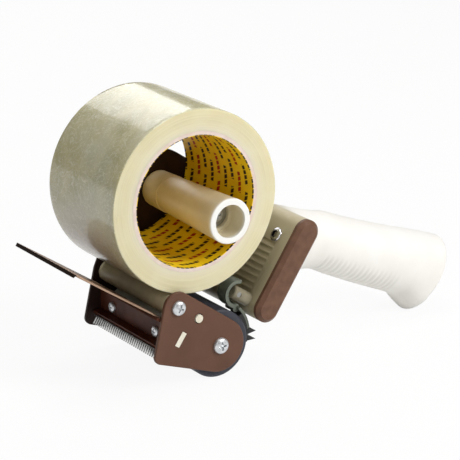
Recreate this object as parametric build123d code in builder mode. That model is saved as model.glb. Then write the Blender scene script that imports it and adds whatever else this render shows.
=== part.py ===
"""Hand-held packing tape dispenser with a loaded roll of tape.

X points from the knife to the handle, Y from the open side into the dispenser,
Z up. The origin is the centre of the hub tube's open end. Lengths are in mm.
"""
import os
from math import atan2, cos, radians, sin, tan

from build123d import *

os.makedirs("parts", exist_ok=True)

# Tape roll
tape_width = 72.0
roll_radius = 52.8
core_bore_radius = 38.1
core_wall = 2.0
liner_thickness = 0.4
tape_chamfer = 0.4
hub_to_roll_angle = 146.0
hub_proud = 4.0

# General clearances
running_fit = 0.05
press_gap = 0.02
seat_gap = 0.3
side_gap = 2.5

# Side plates
plate_thickness = 2.0
plate_edge_radius = 0.6
guide_corner_radius = 9.0
axle_corner_radius = 15.8
knife_corner_radius = 4.5
hub_arm_radius = 23.5

# Hub
hub_near_radius = 13.2
hub_far_radius = 10.4
hub_bore_radius = 9.6
hub_bore_depth = 13.3
hub_wall = 2.6
hub_recess_radius = 7.4
hub_recess_depth = 3.4
hub_web = 4.0
hub_band_width = 16.0
arbor_radius = 5.0
arbor_thread_radius = 3.0
hub_washer_radius = 7.0
hub_washer_thickness = 0.8
hub_screw_radius = 4.2
hub_screw_height = 2.2
hub_end_gap = 0.6
hub_rim_fillet = 0.8
hub_band_start_rise = 0.9
hub_band_end_rise = 0.4
hub_band_sink = 1.0
nut_width = 10.0
nut_height = 5.0
arbor_thread_length = 8.0
spring_washer_thickness = 0.45

# Rollers; the guide roller is placed from the roll, the rest of the head from the guide
guide_angle = -104.1
guide_radius = 6.5
guide_bore_radius = 4.5
guide_axle_radius = 3.0
applicator_from_guide = (27.482, -27.528)
applicator_radius = 19.8
tyre_wall = 5.8
applicator_bore_radius = 7.0
applicator_axle_radius = 4.0
roller_end_gap = 0.8
core_recess = 3.0
core_rim = 2.0
guide_chamfer = 0.6
bush_flange = 0.5
bush_length = 9.0
tyre_chamfer = 0.8

# Cross-recess screws
guide_screw_head = 4.2
axle_screw_head = 4.7
screw_head_height = 2.6
screw_shank_radius = 2.0
screw_shank_length = 9.0
axle_hole_depth = 10.0
screw_rim_share = 0.45
recess_length_share = 1.1
recess_width_share = 0.24
recess_depth_share = 0.55

# Cross bar between the plates
bar_thickness = 3.0
peg_radius = 2.4
peg_gap = 0.5
peg_proud = 0.6
tab_length = 9.0
tab_angle = 55.4
tab_gap = 0.1
bar_gap = 0.2
tab_from_guide = (1.5, -19.0)
peg_from_guide = (13.3, -8.7)

# Knife holder and knife
knife_corner_from_guide = (-10.718, -27.028)
sheet_thickness = 1.6
holder_lip_from_guide = (-13.318, -5.228)
web_foot_from_guide = (-4.918, -22.128)
holder_foot_from_guide = (-9.918, -22.928)
holder_screw_shank_radius = 1.5
holder_screw_shank_length = 3.4
holder_screw_height = 2.0
knife_thickness = 0.8
blade_gap = 0.05
blade_above_screw = 5.0
tooth_step = 1.0
tooth_overlap = 0.3
tooth_pitch = 2.2
tooth_count = 32
tooth_length = 4.85
tooth_root_width = 1.5
tooth_tip_width = 0.4
tooth_lean = 63.5
holder_screw_span = 48.5
holder_screw_below_guide = 17.678
holder_screw_head = 3.2

# Wiper flap
flap_angle = 147.0
flap_length = 59.0
flap_thickness = 0.9
flap_root_length = 7.0
flap_inset = 0.5
flap_edge_radius = 5.0

# Handle block
block_radius = 7.8
block_low_from_guide = (60.5, -13.04)
block_angle = 56.8
block_length = 49.0
cap_thickness = 4.5
cap_bevel = 2.2
cap_peg_radius = 3.0
cap_peg_length = 4.5
rib_pitch = 3.8
groove_width = 2.9
groove_count = 11
groove_depth = 0.7
groove_low = -3.0
rib_margin = 9.0
bolt_from_top = 8.4
bolt_margin = 12.0
bolt_radius = 4.3
bolt_head_height = 1.6
bolt_shank_radius = 2.5
bolt_shank_length = 12.0
bolt_edge_radius = 0.5
bolt_socket_share = 0.52
bolt_socket_depth = 2.6
hole_spare = 1.0
slot_above_bolt = 5.4
slot_height = 1.4
slot_depth = 3.0
block_screw_head = 4.5

# Grip
grip_slope = -20.0
grip_root_from_block = (44.08, 25.76)
neck_width = 62.0
neck_height = 51.6
neck_rise = 6.3
grip_end_radius = 4.0
# Sections along the grip: distance, width, height, rise
grip_stations = [
    (12.0, 36.0, 35.2, 0.6),
    (30.0, 36.2, 36.4, 0.2),
    (50.0, 36.5, 38.0, -0.4),
    (70.0, 36.8, 39.6, -0.6),
    (82.0, 37.0, 41.2, -0.7),
    (88.0, 37.3, 44.8, -2.2),
    (93.0, 37.5, 47.6, -3.4),
    (97.0, 37.5, 49.0, -4.1),
]
grip_end = (106.0, 36.5, 45.0, -2.4)
grip_end_tilt = -8.0

# Drag lever on the roller
stud_radius = 4.0
stud_length = 13.0
stud_margin = 8.5
stud_thread_radius = 2.5
stud_thread_length = 12.0
pin_from_tip = 3.5
pin_radius = 1.5
strap_inner_radius = 6.3
strap_thickness = 2.0
strap_width = 8.6
ear_thickness = 2.0
ear_gap = 0.25
ear_boss_wall = 1.8
ear_start_angle = 95.0
ear_end_angle = 262.0
strap_start_angle = 70.0
strap_end_angle = 268.0
lever_knee_radius = 1.6
lever_foot_radius = 1.9
lever_foot_angle = 41.5
backing_start_angle = 8.0
backing_end_angle = 42.5
pin_tail = 2.2
pin_inset = 0.4
clip_wall = 1.3
clip_thickness = 0.7
clip_from_end = 1.2
stud_chamfer = 0.6
shoe_thickness = 3.5
shoe_width = 10.0
shoe_top_angle = 33.5
shoe_bottom_angle = -12.0
shoe_tooth_height = 5.6
shoe_tooth_angles = (3.0, -6.5)
shoe_tooth_half_angle = 4.4
shoe_tooth_lean = 1.5
shoe_tooth_sink = 0.8
shoe_backing = 1.5
spring_wire_radius = 0.4
spring_pitch = 1.1
spring_turns = 3
spring_gap = 0.3
spring_pin_gap = 0.2

# Places worked out from the sizes above
roll_near_y = hub_proud
roll_far_y = roll_near_y + tape_width
mid_y = (roll_near_y + roll_far_y) / 2
near_inner_y = roll_near_y - side_gap
near_outer_y = near_inner_y - plate_thickness
far_inner_y = roll_far_y + side_gap
far_outer_y = far_inner_y + plate_thickness
hub_offset = core_bore_radius - liner_thickness - hub_near_radius - seat_gap
roll_x = hub_offset * cos(radians(hub_to_roll_angle))
roll_z = hub_offset * sin(radians(hub_to_roll_angle))
guide_reach = roll_radius + guide_radius + seat_gap
guide_x = roll_x + guide_reach * cos(radians(guide_angle))
guide_z = roll_z + guide_reach * sin(radians(guide_angle))
guide_at = (guide_x, guide_z)
along_x = cos(radians(block_angle))
along_z = sin(radians(block_angle))
block_near_y = roll_near_y
screw_hole = screw_shank_radius + press_gap


def side_plane(y):
    """Plane facing the open side at this depth; its axes are X and Z."""
    return Plane(origin=(0, y, 0), x_dir=(1, 0, 0), z_dir=(0, -1, 0))


def shifted(place, step):
    """Point one step away from a place in the side view."""
    return (place[0] + step[0], place[1] + step[1])


def polar(centre, radius, angle):
    """Point at this radius and angle round centre in the side view."""
    return (centre[0] + radius * cos(radians(angle)), centre[1] + radius * sin(radians(angle)))


def block_point(along):
    """Point on the block's middle line, this far up from its low end."""
    return shifted(block_low, (along * along_x, along * along_z))


def face_point(along, out=0.0):
    """Point on the ribbed face of the block, this far up it and out from it."""
    x, z = block_point(along)
    return (x - (block_radius + out) * along_z, z + (block_radius + out) * along_x)


def add_rod(radius, y_start, y_end, at=(0, 0), mode=Mode.ADD):
    """Add or cut a round bar along Y."""
    with BuildSketch(side_plane(y_start)) as disc:
        with Locations(at):
            Circle(radius)
    extrude(disc.sketch, amount=y_start - y_end, mode=mode)


def add_hull(y_start, y_end, circles):
    """Add a bar along Y whose outline is wrapped round circles of centre and radius."""
    with BuildSketch(side_plane(y_start)) as outline:
        with BuildLine():
            for centre, radius in circles:
                CenterArc(centre, radius, 0, 360)
        make_hull()
    extrude(outline.sketch, amount=y_start - y_end)


def add_sector(y_start, y_end, centre, radii, angles):
    """Add a ring sector round centre between two radii and two angles."""
    inner, outer = radii
    start, end = angles
    with BuildSketch(side_plane(y_start)) as sector:
        with BuildLine():
            CenterArc(centre, inner, start, end - start)
            CenterArc(centre, outer, start, end - start)
            Line(polar(centre, inner, start), polar(centre, outer, start))
            Line(polar(centre, inner, end), polar(centre, outer, end))
        make_face()
    extrude(sector.sketch, amount=y_start - y_end)


def add_pan_screw(seat, head_radius, head_height, shank_radius, shank_length):
    """Add a pan-head screw with a cross recess; its head stands on the seat plane."""
    section = Plane(origin=seat.origin, x_dir=seat.x_dir, z_dir=-seat.y_dir)
    rim_height = head_height * screw_rim_share
    recess_length = head_radius * recess_length_share
    recess_width = head_radius * recess_width_share
    with BuildSketch(section) as half:
        with BuildLine():
            Polyline(
                (0, head_height), (0, -shank_length), (shank_radius, -shank_length),
                (shank_radius, 0), (head_radius, 0), (head_radius, rim_height),
            )
            TangentArc((0, head_height), (head_radius, rim_height), tangent=(1, 0))
        make_face()
    revolve(half.sketch, axis=Axis(seat.origin, seat.z_dir))
    with BuildSketch(seat.offset(head_height)) as cross:
        Rectangle(recess_length, recess_width)
        Rectangle(recess_width, recess_length)
    extrude(cross.sketch, amount=-head_height * recess_depth_share, mode=Mode.SUBTRACT)


def add_bush_pair(at, outer, inner, flange):
    """Add a flanged bush at each end of a roller, the flange facing the side plate."""
    for y_end, inward in ((guide_start - bush_flange, 1), (guide_end + bush_flange, -1)):
        add_rod(flange, y_end, y_end + inward * bush_flange, at)
        add_rod(outer, y_end + inward * bush_flange, y_end + inward * bush_length, at)
        add_rod(inner, y_end, y_end + inward * bush_length, at, Mode.SUBTRACT)


def add_axle(radius, at):
    """Add an axle between the side plates with a screw hole in each end."""
    add_rod(radius, near_inner_y, far_inner_y, at)
    add_rod(screw_hole, near_inner_y, near_inner_y + axle_hole_depth, at, Mode.SUBTRACT)
    add_rod(screw_hole, far_inner_y - axle_hole_depth, far_inner_y, at, Mode.SUBTRACT)


def near_seat(at):
    """Seat on the outer face of the near plate, facing out."""
    return Plane(origin=(at[0], near_outer_y, at[1]), x_dir=(1, 0, 0), z_dir=(0, -1, 0))


def far_seat(at):
    """Seat on the outer face of the far plate, facing out."""
    return Plane(origin=(at[0], far_outer_y, at[1]), x_dir=(-1, 0, 0), z_dir=(0, 1, 0))


def add_screw_pair(at, head_radius):
    """Add the two screws that hold an axle, one on each side plate."""
    for seat in (near_seat(at), far_seat(at)):
        add_pan_screw(seat, head_radius, screw_head_height, screw_shank_radius, screw_shank_length)


applicator_at = shifted(guide_at, applicator_from_guide)
knife_corner = shifted(guide_at, knife_corner_from_guide)
block_low = shifted(guide_at, block_low_from_guide)
block_high = block_point(block_length)
grip_root = shifted(block_low, grip_root_from_block)
head_circles = [
    (guide_at, guide_corner_radius),
    (applicator_at, axle_corner_radius),
    (knife_corner, knife_corner_radius),
]
guide_start = near_inner_y + roller_end_gap
guide_end = far_inner_y - roller_end_gap

# Cross bar: its tab and peg pass through both side plates
tab_at = shifted(guide_at, tab_from_guide)
peg_at = shifted(guide_at, peg_from_guide)
tab_low = polar(tab_at, -tab_length / 2 + bar_thickness / 2, tab_angle)
tab_high = polar(tab_at, tab_length / 2 - bar_thickness / 2, tab_angle)
bar_start = near_inner_y + bar_gap
bar_end = far_inner_y - bar_gap


def tab_sketch(y, gap):
    """Outline of the bar's tab, grown by a gap for its slot."""
    with BuildSketch(side_plane(y)) as tab:
        with Locations(Location(tab_at, tab_angle)):
            Rectangle(tab_length + 2 * gap, bar_thickness + 2 * gap)
    return tab.sketch


def cut_bar_holes(y_start, y_end):
    """Cut the round hole and the slot that take the cross bar."""
    extrude(tab_sketch(y_start, tab_gap), amount=y_start - y_end, mode=Mode.SUBTRACT)
    add_rod(peg_radius + peg_gap, y_start, y_end, peg_at, Mode.SUBTRACT)


# Near side plate
with BuildPart() as near_side_plate:
    add_hull(near_outer_y, near_inner_y, head_circles)
    rim = near_side_plate.faces().sort_by(Axis.Y)[0].outer_wire().edges()
    fillet(rim, plate_edge_radius)
    for place in (guide_at, applicator_at):
        add_rod(screw_hole, near_outer_y, near_inner_y, place, Mode.SUBTRACT)
    cut_bar_holes(near_outer_y, near_inner_y)
near_side_plate.part.label = "near_side_plate"
export_step(near_side_plate.part, "parts/near_side_plate.step")

# Far side plate: the same head, an arm up to the hub and a pad beside the block
arm_circle = ((0, 0), hub_arm_radius)
with BuildPart() as far_side_plate:
    add_hull(far_inner_y, far_outer_y, head_circles + [arm_circle])
    add_hull(far_inner_y, far_outer_y, [(block_low, block_radius), (block_high, block_radius), arm_circle])
    add_hull(far_inner_y, far_outer_y, [(block_low, block_radius), head_circles[1], arm_circle])
    rim = far_side_plate.faces().sort_by(Axis.Y)[-1].outer_wire().edges()
    fillet(rim, plate_edge_radius)
    for place in (guide_at, applicator_at, block_low, block_high):
        add_rod(screw_hole, far_inner_y, far_outer_y, place, Mode.SUBTRACT)
    add_rod(arbor_thread_radius + press_gap, far_inner_y, far_outer_y, (0, 0), Mode.SUBTRACT)
    cut_bar_holes(far_inner_y, far_outer_y)
far_side_plate.part.label = "far_side_plate"
export_step(far_side_plate.part, "parts/far_side_plate.step")

# Cross bar
with BuildPart() as cross_bar:
    for far_point in (tab_low, peg_at):
        add_hull(bar_start, bar_end, [(tab_high, bar_thickness / 2), (far_point, bar_thickness / 2)])
    add_rod(peg_radius, near_outer_y - peg_proud, far_outer_y + peg_proud, peg_at)
    extrude(tab_sketch(near_outer_y, 0), amount=near_outer_y - far_outer_y)
cross_bar.part.label = "cross_bar"
export_step(cross_bar.part, "parts/cross_bar.step")

# Guide roller with its bushes, axle and screws
with BuildPart() as guide_roller:
    add_rod(guide_radius, guide_start, guide_end, guide_at)
    chamfer(guide_roller.edges().filter_by(GeomType.CIRCLE), guide_chamfer)
    add_rod(guide_bore_radius, guide_start, guide_end, guide_at, Mode.SUBTRACT)
guide_roller.part.label = "guide_roller"
export_step(guide_roller.part, "parts/guide_roller.step")

guide_flange = guide_radius - guide_chamfer - press_gap
with BuildPart() as guide_bushes:
    add_bush_pair(guide_at, guide_bore_radius - press_gap, guide_axle_radius + running_fit, guide_flange)
guide_bushes.part.label = "guide_bushes"
export_step(guide_bushes.part, "parts/guide_bushes.step")

with BuildPart() as guide_axle:
    add_axle(guide_axle_radius, guide_at)
guide_axle.part.label = "guide_axle"
export_step(guide_axle.part, "parts/guide_axle.step")

with BuildPart() as guide_screws:
    add_screw_pair(guide_at, guide_screw_head)
guide_screws.part.label = "guide_screws"
export_step(guide_screws.part, "parts/guide_screws.step")

# Applicator roller: rubber tyre on a spoked core, with bushes, axle and screws
tyre_bore_radius = applicator_radius - tyre_wall
with BuildPart() as applicator_tyre:
    add_rod(applicator_radius, guide_start, guide_end, applicator_at)
    chamfer(applicator_tyre.edges().filter_by(GeomType.CIRCLE), tyre_chamfer)
    add_rod(tyre_bore_radius, guide_start, guide_end, applicator_at, Mode.SUBTRACT)
applicator_tyre.part.label = "applicator_tyre"
export_step(applicator_tyre.part, "parts/applicator_tyre.step")

core_hub_radius = applicator_bore_radius + core_rim
with BuildPart() as applicator_core:
    add_rod(tyre_bore_radius - press_gap, guide_start, guide_end, applicator_at)
    for y_low in (guide_start, guide_end - core_recess):
        add_rod(tyre_bore_radius - core_rim, y_low, y_low + core_recess, applicator_at, Mode.SUBTRACT)
        add_rod(core_hub_radius, y_low, y_low + core_recess, applicator_at)
    add_rod(applicator_bore_radius, guide_start, guide_end, applicator_at, Mode.SUBTRACT)
applicator_core.part.label = "applicator_core"
export_step(applicator_core.part, "parts/applicator_core.step")

with BuildPart() as applicator_bushes:
    bush_bore = applicator_axle_radius + running_fit
    add_bush_pair(applicator_at, applicator_bore_radius - press_gap, bush_bore, core_hub_radius)
applicator_bushes.part.label = "applicator_bushes"
export_step(applicator_bushes.part, "parts/applicator_bushes.step")

with BuildPart() as applicator_axle:
    add_axle(applicator_axle_radius, applicator_at)
applicator_axle.part.label = "applicator_axle"
export_step(applicator_axle.part, "parts/applicator_axle.step")

with BuildPart() as applicator_screws:
    add_screw_pair(applicator_at, axle_screw_head)
applicator_screws.part.label = "applicator_screws"
export_step(applicator_screws.part, "parts/applicator_screws.step")

# Knife holder: a folded sheet with a lip, a web and a foot, and an ear at each end
flap_x = cos(radians(flap_angle))
flap_z = sin(radians(flap_angle))
holder_lip = shifted(guide_at, holder_lip_from_guide)
web_foot = shifted(guide_at, web_foot_from_guide)
holder_foot = shifted(guide_at, holder_foot_from_guide)
web_x = web_foot[0]
lip_run = (web_x - holder_lip[0]) / -flap_x
web_top = (web_x, holder_lip[1] - lip_run * flap_z)
holder_screw_z = guide_z - holder_screw_below_guide
holder_screw_ys = (mid_y - holder_screw_span / 2, mid_y + holder_screw_span / 2)


def add_sheet(y_start, y_end, points, thickness):
    """Add a folded sheet along Y whose one side follows the points."""
    with BuildSketch(side_plane(y_start)) as sheet:
        with BuildLine():
            Polyline(*points)
            offset(amount=thickness, side=Side.LEFT, closed=True, kind=Kind.INTERSECTION)
        make_face()
    extrude(sheet.sketch, amount=y_start - y_end)


def cut_holder_holes(depth):
    """Cut the holes of the holder screws this deep."""
    for y in holder_screw_ys:
        with BuildSketch(holder_screw_plane(y)) as hole:
            Circle(holder_screw_shank_radius + press_gap)
        extrude(hole.sketch, amount=-depth, mode=Mode.SUBTRACT)


def holder_screw_plane(y):
    """Seat of a holder screw on the front of the web, facing the knife side."""
    return Plane(origin=(web_x, y, holder_screw_z), x_dir=(0, 1, 0), z_dir=(-1, 0, 0))


with BuildPart() as knife_holder:
    add_sheet(near_inner_y, far_inner_y, [holder_lip, web_top, web_foot, holder_foot], sheet_thickness)
    cut_holder_holes(sheet_thickness)
knife_holder.part.label = "knife_holder"
export_step(knife_holder.part, "parts/knife_holder.step")

# Knife: a strip behind the web, bent forward under the foot, with turned-down teeth
blade_step = sheet_thickness + blade_gap
fold = atan2(web_x - holder_foot[0], web_foot[1] - holder_foot[1])
blade_bend = shifted(web_foot, (blade_step, -blade_step * tan(fold / 2)))
tooth_root = (
    holder_foot[0] + blade_step * cos(fold) - tooth_step * sin(fold),
    holder_foot[1] - blade_step * sin(fold) - tooth_step * cos(fold),
)
tooth_dir = (-cos(radians(tooth_lean)), -sin(radians(tooth_lean)))
blade_top = (web_x + blade_step, holder_screw_z + blade_above_screw)
tooth_plane = Plane(
    origin=(tooth_root[0], mid_y, tooth_root[1]),
    x_dir=(0, 1, 0),
    z_dir=(-tooth_dir[1], 0, tooth_dir[0]),
)
with BuildPart() as knife_blade:
    add_sheet(roll_near_y, roll_far_y, [blade_top, blade_bend, tooth_root], knife_thickness)
    with BuildSketch(tooth_plane) as comb:
        with GridLocations(tooth_pitch, 0, tooth_count, 1):
            Polygon(
                (-tooth_root_width / 2, tooth_overlap), (tooth_root_width / 2, tooth_overlap),
                (tooth_tip_width / 2, -tooth_length), (-tooth_tip_width / 2, -tooth_length),
                align=None,
            )
    extrude(comb.sketch, amount=knife_thickness)
    cut_holder_holes(blade_step + knife_thickness)
knife_blade.part.label = "knife_blade"
export_step(knife_blade.part, "parts/knife_blade.step")

with BuildPart() as holder_screws:
    for y in holder_screw_ys:
        add_pan_screw(
            holder_screw_plane(y), holder_screw_head, holder_screw_height,
            holder_screw_shank_radius, holder_screw_shank_length,
        )
holder_screws.part.label = "holder_screws"
export_step(holder_screws.part, "parts/holder_screws.step")

# Wiper: a thin sheet that goes on from the holder's lip; its root strip lies on the lip
flap_lift = sheet_thickness + flap_thickness / 2 + blade_gap
flap_pivot = shifted(holder_lip, (flap_lift * flap_z, -flap_lift * flap_x))
wiper_width = tape_width - 2 * flap_inset
flap_plane = Plane(
    origin=(flap_pivot[0], mid_y, flap_pivot[1]),
    x_dir=(flap_x, 0, flap_z),
    z_dir=(flap_z, 0, -flap_x),
)
with BuildPart() as wiper_root:
    with BuildSketch(flap_plane.offset(-flap_thickness / 2)) as strip:
        with Locations((-flap_root_length / 2, 0)):
            Rectangle(flap_root_length, wiper_width)
    extrude(strip.sketch, amount=flap_thickness)
wiper_root.part.label = "wiper_root"
export_step(wiper_root.part, "parts/wiper_root.step")

with BuildPart() as wiper_flap:
    with BuildSketch(flap_plane.offset(-flap_thickness / 2)) as sheet:
        with Locations((seat_gap + flap_length / 2, 0)):
            Rectangle(flap_length, wiper_width)
        free_corners = sheet.vertices().group_by(Axis.X)[0]
        fillet(free_corners, flap_edge_radius)
    extrude(sheet.sketch, amount=flap_thickness)
wiper_flap.part.label = "wiper_flap"
export_step(wiper_flap.part, "parts/wiper_flap.step")

# Hub: a tapered tube that turns on a fixed arbor, with a web at each end of its bearing
hub_end = far_inner_y - hub_end_gap
hub_floor = hub_bore_depth + hub_recess_depth
arbor_tip = hub_floor - seat_gap
with BuildPart() as hub_tube:
    with BuildSketch(Plane.XY) as wall:
        with BuildLine():
            Polyline((0, 0), (hub_near_radius, 0), (hub_far_radius, hub_end), (0, hub_end), close=True)
        make_face()
    revolve(wall.sketch, axis=Axis.Y)
    fillet(hub_tube.edges().filter_by(GeomType.CIRCLE).sort_by(Axis.Y)[0], hub_rim_fillet)
    add_rod(hub_bore_radius, 0, hub_bore_depth, mode=Mode.SUBTRACT)
    add_rod(hub_recess_radius, hub_bore_depth, hub_floor, mode=Mode.SUBTRACT)
    add_rod(hub_far_radius - hub_wall, hub_floor + hub_web, hub_end - hub_web, mode=Mode.SUBTRACT)
    add_rod(arbor_radius + running_fit, 0, hub_end, mode=Mode.SUBTRACT)
    with BuildSketch(Plane.XY) as band:
        with BuildLine():
            Polyline(
                (hub_far_radius - hub_band_sink, hub_end - hub_band_width),
                (hub_far_radius + hub_band_start_rise, hub_end - hub_band_width),
                (hub_far_radius + hub_band_end_rise, hub_end),
                (hub_far_radius - hub_band_sink, hub_end),
                close=True,
            )
        make_face()
    revolve(band.sketch, axis=Axis.Y)
hub_tube.part.label = "hub_tube"
export_step(hub_tube.part, "parts/hub_tube.step")

with BuildPart() as hub_arbor:
    add_rod(arbor_radius, arbor_tip, far_inner_y)
    add_rod(arbor_thread_radius, far_inner_y, far_inner_y + arbor_thread_length)
    add_rod(screw_hole, arbor_tip, arbor_tip + axle_hole_depth, mode=Mode.SUBTRACT)
hub_arbor.part.label = "hub_arbor"
export_step(hub_arbor.part, "parts/hub_arbor.step")

with BuildPart() as hub_washer:
    add_rod(hub_washer_radius, arbor_tip - hub_washer_thickness, arbor_tip)
    add_rod(screw_hole, arbor_tip - hub_washer_thickness, arbor_tip, mode=Mode.SUBTRACT)
hub_washer.part.label = "hub_washer"
export_step(hub_washer.part, "parts/hub_washer.step")

hub_seat = Plane(origin=(0, arbor_tip - hub_washer_thickness, 0), x_dir=(1, 0, 0), z_dir=(0, -1, 0))
with BuildPart() as hub_screw:
    add_pan_screw(hub_seat, hub_screw_radius, hub_screw_height, screw_shank_radius, screw_shank_length)
hub_screw.part.label = "hub_screw"
export_step(hub_screw.part, "parts/hub_screw.step")

with BuildPart() as hub_spring_washer:
    washer_start = far_inner_y - spring_washer_thickness
    add_rod(hub_far_radius - hub_band_sink, washer_start, far_inner_y)
    add_rod(arbor_radius + press_gap, washer_start, far_inner_y, mode=Mode.SUBTRACT)
hub_spring_washer.part.label = "hub_spring_washer"
export_step(hub_spring_washer.part, "parts/hub_spring_washer.step")

with BuildPart() as hub_nut:
    with BuildSketch(side_plane(far_outer_y)) as hexagon:
        RegularPolygon(nut_width / 2, 6, major_radius=False)
    extrude(hexagon.sketch, amount=-nut_height)
    add_rod(arbor_thread_radius + press_gap, far_outer_y, far_outer_y + nut_height, mode=Mode.SUBTRACT)
hub_nut.part.label = "hub_nut"
export_step(hub_nut.part, "parts/hub_nut.step")

# Tape roll: film wound on a board core that has a printed liner
core_outer_radius = core_bore_radius + core_wall
roll_at = (roll_x, roll_z)
with BuildPart() as tape_film:
    add_rod(roll_radius, roll_near_y, roll_far_y, roll_at)
    add_rod(core_outer_radius + press_gap, roll_near_y, roll_far_y, roll_at, Mode.SUBTRACT)
    chamfer(tape_film.edges().filter_by(GeomType.CIRCLE), tape_chamfer)
tape_film.part.label = "tape_film"
export_step(tape_film.part, "parts/tape_film.step")

with BuildPart() as tape_core:
    add_rod(core_outer_radius, roll_near_y, roll_far_y, roll_at)
    add_rod(core_bore_radius, roll_near_y, roll_far_y, roll_at, Mode.SUBTRACT)
tape_core.part.label = "tape_core"
export_step(tape_core.part, "parts/tape_core.step")

with BuildPart() as core_liner:
    add_rod(core_bore_radius - press_gap, roll_near_y, roll_far_y, roll_at)
    add_rod(core_bore_radius - liner_thickness, roll_near_y, roll_far_y, roll_at, Mode.SUBTRACT)
core_liner.part.label = "core_liner"
export_step(core_liner.part, "parts/core_liner.step")

# Handle: ribbed block, neck and hooked grip in one moulding
grip_dir = (cos(radians(grip_slope)), sin(radians(grip_slope)))
face_mid = face_point(block_length / 2)
face_plane = Plane(
    origin=(face_mid[0], mid_y, face_mid[1]),
    x_dir=(0, -1, 0),
    z_dir=(-along_z, 0, along_x),
)
block_width = far_inner_y - block_near_y
rib_width = block_width - 2 * rib_margin
bolt_shift = tape_width / 2 - bolt_margin
bolt_rise = block_length / 2 - bolt_from_top
bolt_places = ((-bolt_shift, bolt_rise), (bolt_shift, bolt_rise))
grooves_rise = groove_low + (groove_count - 1) * rib_pitch / 2 - block_length / 2
stud_y = block_near_y + stud_margin


def grip_plane(distance, shift, tilt=0.0):
    """Section plane across the grip, this far along it and raised by shift."""
    slope = grip_slope + tilt
    x = grip_root[0] + distance * grip_dir[0] - shift * grip_dir[1]
    z = grip_root[1] + distance * grip_dir[1] + shift * grip_dir[0]
    across = (cos(radians(slope)), 0, sin(radians(slope)))
    return Plane(origin=(x, mid_y, z), x_dir=(0, 1, 0), z_dir=across)


neck_middle = block_point(block_length / 2 + neck_rise)
neck_plane = Plane(
    origin=(neck_middle[0], mid_y, neck_middle[1]),
    x_dir=(0, 1, 0),
    z_dir=(along_z, 0, -along_x),
)
with BuildPart() as handle:
    add_hull(block_near_y, far_inner_y, [(block_low, block_radius), (block_high, block_radius)])
    with BuildSketch(neck_plane) as neck_foot:
        Ellipse(neck_width / 2, neck_height / 2)
    sections = [neck_foot.sketch]
    for distance, width, height, shift in grip_stations:
        with BuildSketch(grip_plane(distance, shift)) as section:
            Ellipse(width / 2, height / 2)
        sections.append(section.sketch)
    with BuildSketch(grip_plane(grip_end[0], grip_end[3], grip_end_tilt)) as butt:
        Ellipse(grip_end[1] / 2, grip_end[2] / 2)
    sections.append(butt.sketch)
    loft(sections, ruled=True)
    butt_rim = handle.faces().sort_by(Axis.X)[-1].outer_wire().edges()
    fillet(butt_rim, grip_end_radius)
    with BuildSketch(face_plane) as grooves:
        with Locations((0, grooves_rise)):
            with GridLocations(0, rib_pitch, 1, groove_count):
                SlotOverall(rib_width, groove_width)
    extrude(grooves.sketch, amount=-groove_depth, mode=Mode.SUBTRACT)
    with BuildSketch(face_plane) as slot:
        with Locations((0, bolt_rise + slot_above_bolt)):
            Rectangle(rib_width, slot_height)
    extrude(slot.sketch, amount=-slot_depth, mode=Mode.SUBTRACT)
    with BuildSketch(face_plane) as bolt_holes:
        with Locations(*bolt_places):
            Circle(bolt_shank_radius + press_gap)
    extrude(bolt_holes.sketch, amount=-bolt_shank_length - hole_spare, mode=Mode.SUBTRACT)
    with BuildSketch(face_plane) as stud_hole:
        with Locations((mid_y - stud_y, -block_length / 2)):
            Circle(stud_thread_radius + press_gap)
    extrude(stud_hole.sketch, amount=-stud_thread_length - hole_spare, mode=Mode.SUBTRACT)
    for place in (block_low, block_high):
        add_rod(screw_hole, far_inner_y - axle_hole_depth, far_inner_y, place, Mode.SUBTRACT)
        peg_end = block_near_y + cap_peg_length + hole_spare / 2
        add_rod(cap_peg_radius + press_gap, block_near_y, peg_end, place, Mode.SUBTRACT)
handle.part.label = "handle"
export_step(handle.part, "parts/handle.step")
print("handle lowest", handle.part.bounding_box().min.Z)

# Cap over the near end of the block, held by two pegs
with BuildPart() as near_cap:
    cap_start = block_near_y - cap_thickness
    add_hull(cap_start, block_near_y, [(block_low, block_radius), (block_high, block_radius)])
    cap_rim = near_cap.faces().sort_by(Axis.Y)[0].outer_wire().edges()
    chamfer(cap_rim, cap_bevel)
    for place in (block_low, block_high):
        add_rod(cap_peg_radius, block_near_y, block_near_y + cap_peg_length, place)
near_cap.part.label = "near_cap"
export_step(near_cap.part, "parts/near_cap.step")

with BuildPart() as block_screws:
    for place in (block_low, block_high):
        seat = far_seat(place)
        add_pan_screw(seat, block_screw_head, screw_head_height, screw_shank_radius, screw_shank_length)
block_screws.part.label = "block_screws"
export_step(block_screws.part, "parts/block_screws.step")

face_axis = Axis((0, 0, 0), (-along_z, 0, along_x))
with BuildPart() as block_bolts:
    with BuildSketch(face_plane) as shanks:
        with Locations(*bolt_places):
            Circle(bolt_shank_radius)
    extrude(shanks.sketch, amount=-bolt_shank_length)
    with BuildSketch(face_plane) as heads:
        with Locations(*bolt_places):
            Circle(bolt_radius)
    extrude(heads.sketch, amount=bolt_head_height)
    for head_face in block_bolts.faces().filter_by(GeomType.PLANE).sort_by(face_axis)[-2:]:
        fillet(head_face.outer_wire().edges(), bolt_edge_radius)
    with BuildSketch(face_plane.offset(bolt_head_height)) as sockets:
        with Locations(*bolt_places):
            RegularPolygon(bolt_radius * bolt_socket_share, 6)
    extrude(sockets.sketch, amount=-bolt_socket_depth, mode=Mode.SUBTRACT)
block_bolts.part.label = "block_bolts"
export_step(block_bolts.part, "parts/block_bolts.step")

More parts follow.
